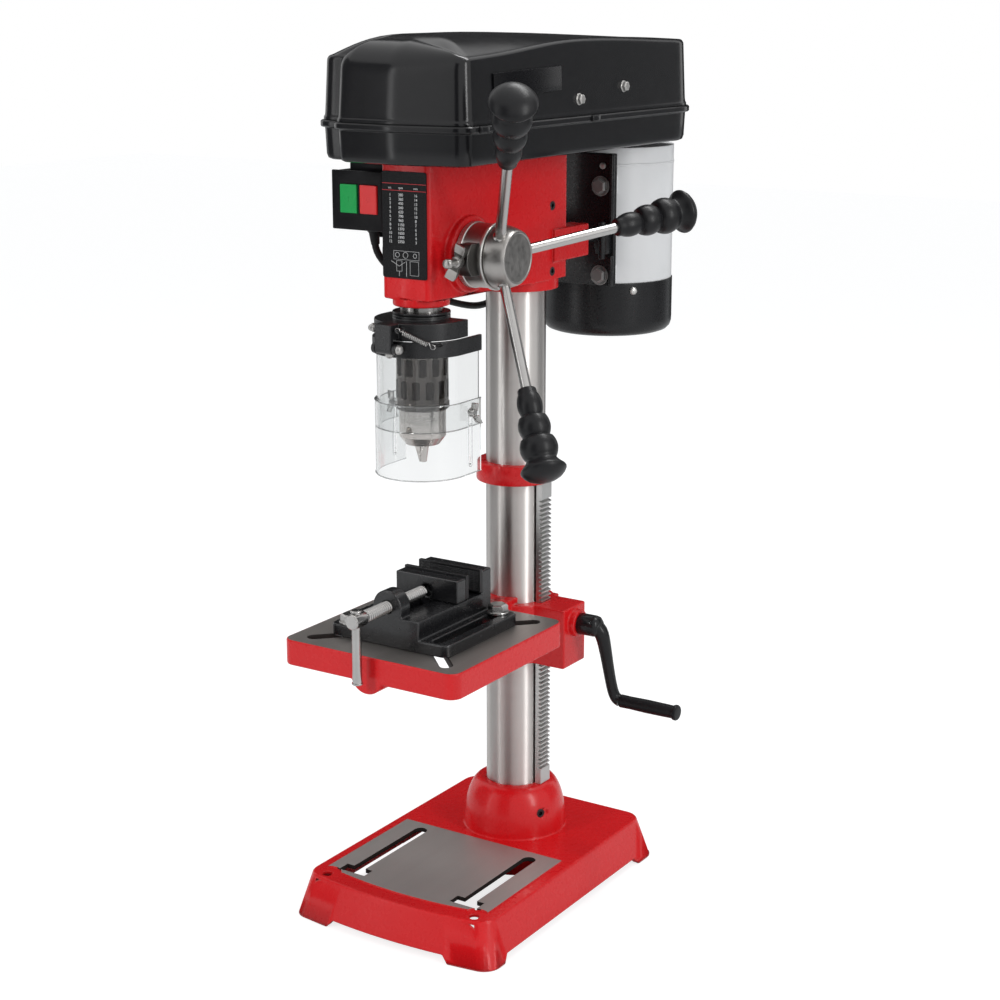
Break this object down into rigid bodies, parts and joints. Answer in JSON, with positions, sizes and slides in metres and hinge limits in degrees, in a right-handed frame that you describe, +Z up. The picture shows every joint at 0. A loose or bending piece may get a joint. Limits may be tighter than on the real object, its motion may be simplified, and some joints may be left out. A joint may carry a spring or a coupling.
{
  "type": "bench drill press",
  "caption": "Bench drill press with round column, rack-lifted tilting table, drill vise, quill feed with handles, keyed chuck, hinged clear chuck guard and covered step-pulley belt drive.",
  "frame": {"origin": "on the bench, under the column's axis", "axes": "+Z up along the column, -Y to the operator, +X to the operator's right, where the feed handles are"},
  "size_m": [0.3018, 0.534, 0.863],
  "materials": {
    "paint_red": "gloss",
    "steel": "brushed",
    "dark_steel": "satin",
    "chrome": "polished",
    "black_paint": "satin",
    "black_plastic": "satin",
    "black_rubber": "matte",
    "chart_black": "gloss",
    "clear_plastic": "clear",
    "motor_white": "satin",
    "pulley_metal": "turned",
    "button_green": "gloss",
    "button_red": "gloss"
  },
  "bodies": {
    "stand": {"base": "paint_red", "set_screws": "black_plastic", "column": "steel", "rack_collar": "paint_red", "head_casting": "paint_red", "speed_plate": "chart_black", "cover_tray": "black_plastic", "switch_box": "black_plastic", "spring_cap": "black_plastic", "return_spring": "dark_steel", "motor_cable": "black_rubber", "front_belt": "black_rubber", "rear_belt": "black_rubber"},
    "rack_swing": {"table_rack": "steel"},
    "bracket": {"table_bracket": "paint_red", "tilt_bolt": "dark_steel"},
    "lock": {"lock_lever": "chrome"},
    "crank": {"crank_worm": "dark_steel", "crank_arm": "black_paint"},
    "crank_handle": {"crank_grip": "black_plastic"},
    "gear": {"lift_gear": "dark_steel"},
    "table": {"table_top": "paint_red", "vise_body": "black_paint", "vise_fixed_plate": "dark_steel", "vise_bolts": "chrome"},
    "jaw": {"vise_jaw": "black_paint", "vise_moving_plate": "dark_steel"},
    "jaw_screw": {"vise_screw": "chrome"},
    "tommy_bar": {"vise_bar": "chrome"},
    "quill": {"quill": "steel", "quill_bearings": "chrome", "guard_clamp": "black_plastic"},
    "spindle": {"spindle": "steel", "chuck_body": "steel"},
    "sleeve": {"chuck_sleeve": "dark_steel"},
    "grip_jaw_1": {"chuck_jaw_1": "chrome"},
    "grip_jaw_2": {"chuck_jaw_2": "chrome"},
    "grip_jaw_3": {"chuck_jaw_3": "chrome"},
    "guard": {"guard_ring": "black_plastic", "guard_shield": "clear_plastic", "guard_spring": "chrome", "guard_screws": "chrome"},
    "lower_guard": {"guard_lower_shield": "clear_plastic"},
    "feed": {"feed_shaft": "steel", "feed_hub": "steel", "feed_rods": "chrome", "feed_grips": "black_plastic"},
    "depth_stop": {"depth_ring": "steel"},
    "motor": {"motor_plate": "black_paint", "motor_body": "motor_white", "motor_fan_cap": "black_plastic", "motor_bolts": "chrome"},
    "rotor": {"motor_shaft": "steel", "motor_pulley": "pulley_metal"},
    "front_pulley": {"spindle_pulley": "pulley_metal"},
    "idler_support": {"idler_arm": "dark_steel"},
    "idler": {"idler_pulley": "pulley_metal"},
    "lid": {"cover_lid": "black_plastic"},
    "start": {"start_button": "button_green"},
    "stop": {"stop_button": "button_red"}
  },
  "joints": [
    {"name": "table_swing", "type": "hinge", "parent": "stand", "child": "rack_swing", "pos_m": [0, 0, 0.264], "axis": [0, 0, 1], "range_deg": [-90, 90]},
    {"name": "table_lift", "type": "slide", "parent": "rack_swing", "child": "bracket", "axis": [0, 0, -1], "range_m": [-0.08, 0.11]},
    {"name": "clamp_lever", "type": "hinge", "parent": "bracket", "child": "lock", "pos_m": [0, 0.052, 0.269], "axis": [1, 0, 0], "range_deg": [0, 60]},
    {"name": "table_crank", "type": "hinge", "parent": "bracket", "child": "crank", "pos_m": [0.07, 0, 0.278], "axis": [-1, 0, 0], "range_deg": [-6112, 8404]},
    {"name": "crank_grip_spin", "type": "hinge", "parent": "crank", "child": "crank_handle", "pos_m": [0.14, 0.01726, 0.19681], "axis": [1, 0, 0], "continuous": true},
    {"name": "lift_gear_spin", "type": "hinge", "parent": "bracket", "child": "gear", "pos_m": [0.0494, 0, 0.2557], "axis": [0, 1, 0], "range_deg": [-340, 467]},
    {"name": "table_tilt", "type": "hinge", "parent": "bracket", "child": "table", "pos_m": [0, -0.09, 0.284], "axis": [0, 1, 0], "range_deg": [-45, 45]},
    {"name": "jaw_slide", "type": "slide", "parent": "table", "child": "jaw", "axis": [0, 1, 0], "range_m": [-0.035, 0.007]},
    {"name": "jaw_screw_turn", "type": "hinge", "parent": "jaw", "child": "jaw_screw", "pos_m": [0, -0.2, 0.342], "axis": [0, 1, 0], "range_deg": [-4200.5, 840.5]},
    {"name": "tommy_bar_slide", "type": "slide", "parent": "jaw_screw", "child": "tommy_bar", "axis": [0, 0, 1], "range_m": [0, 0.05]},
    {"name": "feed_turn", "type": "hinge", "parent": "stand", "child": "feed", "pos_m": [0.04, -0.132, 0.6645], "axis": [1, 0, 0], "range_deg": [0, 212], "stiffness_Nm_per_rad": 0.4, "springref_deg": -114.59, "deforming": ["return_spring"]},
    {"name": "quill_slide", "type": "slide", "parent": "stand", "child": "quill", "axis": [0, 0, -1], "range_m": [0, 0.05]},
    {"name": "depth_ring_turn", "type": "hinge", "parent": "feed", "child": "depth_stop", "pos_m": [0.05, -0.132, 0.6645], "axis": [1, 0, 0], "range_deg": [-120, 120]},
    {"name": "spindle_spin", "type": "hinge", "parent": "quill", "child": "spindle", "pos_m": [0, -0.164, 0.65], "axis": [0, 0, 1], "continuous": true},
    {"name": "chuck_sleeve_turn", "type": "hinge", "parent": "spindle", "child": "sleeve", "pos_m": [0, -0.164, 0.54], "axis": [0, 0, 1], "range_deg": [0, 3150]},
    {"name": "chuck_jaw_1_slide", "type": "slide", "parent": "spindle", "child": "grip_jaw_1", "axis": [0.2241, -0.1294, 0.9659], "range_m": [0, 0.022]},
    {"name": "chuck_jaw_2_slide", "type": "slide", "parent": "spindle", "child": "grip_jaw_2", "axis": [0, 0.2588, 0.9659], "range_m": [0, 0.022]},
    {"name": "chuck_jaw_3_slide", "type": "slide", "parent": "spindle", "child": "grip_jaw_3", "axis": [-0.2241, -0.1294, 0.9659], "range_m": [0, 0.022]},
    {"name": "guard_flip", "type": "hinge", "parent": "quill", "child": "guard", "pos_m": [0, -0.2156, 0.585], "axis": [-1, 0, 0], "range_deg": [0, 80], "stiffness_Nm_per_rad": 0.06, "springref_deg": -85.94, "deforming": ["guard_spring"]},
    {"name": "lower_guard_slide", "type": "slide", "parent": "guard", "child": "lower_guard", "axis": [0, 0, 1], "range_m": [0, 0.04]},
    {"name": "motor_slide", "type": "slide", "parent": "stand", "child": "motor", "axis": [0, 1, 0], "range_m": [-0.008, 0.004], "deforming": ["rear_belt", "motor_cable"]},
    {"name": "motor_spin", "type": "hinge", "parent": "motor", "child": "rotor", "pos_m": [0, 0.184, 0.7], "axis": [0, 0, 1], "continuous": true},
    {"name": "idler_swing", "type": "hinge", "parent": "stand", "child": "idler_support", "pos_m": [0, -0.07575, 0.74], "axis": [0, 0, 1], "range_deg": [-6, 6], "deforming": ["front_belt", "rear_belt"]},
    {"name": "idler_spin", "type": "hinge", "parent": "idler_support", "child": "idler", "pos_m": [0, 0.014, 0.79], "axis": [0, 0, 1], "continuous": true},
    {"name": "front_pulley_spin", "type": "hinge", "parent": "stand", "child": "front_pulley", "pos_m": [0, -0.164, 0.79], "axis": [0, 0, 1], "continuous": true},
    {"name": "lid_hinge", "type": "hinge", "parent": "stand", "child": "lid", "pos_m": [-0.095, 0, 0.786], "axis": [0, -1, 0], "range_deg": [0, 95]},
    {"name": "start_press", "type": "slide", "parent": "stand", "child": "start", "axis": [0, 1, 0], "range_m": [0, 0.003], "stiffness_N_per_m": 200},
    {"name": "stop_press", "type": "slide", "parent": "stand", "child": "stop", "axis": [0, 1, 0], "range_m": [0, 0.003], "stiffness_N_per_m": 200}
  ],
  "couplings": [
    {"joint": "table_crank", "follows": "table_lift", "rad_per_m": 1333.3},
    {"joint": "lift_gear_spin", "follows": "table_lift", "rad_per_m": 74.074},
    {"joint": "jaw_screw_turn", "follows": "jaw_slide", "rad_per_m": 2094.4},
    {"joint": "quill_slide", "follows": "feed_turn", "m_per_rad": 0.0135},
    {"joint": "idler_spin", "follows": "motor_spin", "ratio": 0.27536},
    {"joint": "front_pulley_spin", "follows": "motor_spin", "ratio": 0.30497},
    {"joint": "spindle_spin", "follows": "motor_spin", "ratio": 0.30497},
    {"joint": "chuck_jaw_1_slide", "follows": "chuck_sleeve_turn", "m_per_rad": 0.0004},
    {"joint": "chuck_jaw_2_slide", "follows": "chuck_sleeve_turn", "m_per_rad": 0.0004},
    {"joint": "chuck_jaw_3_slide", "follows": "chuck_sleeve_turn", "m_per_rad": 0.0004}
  ]
}
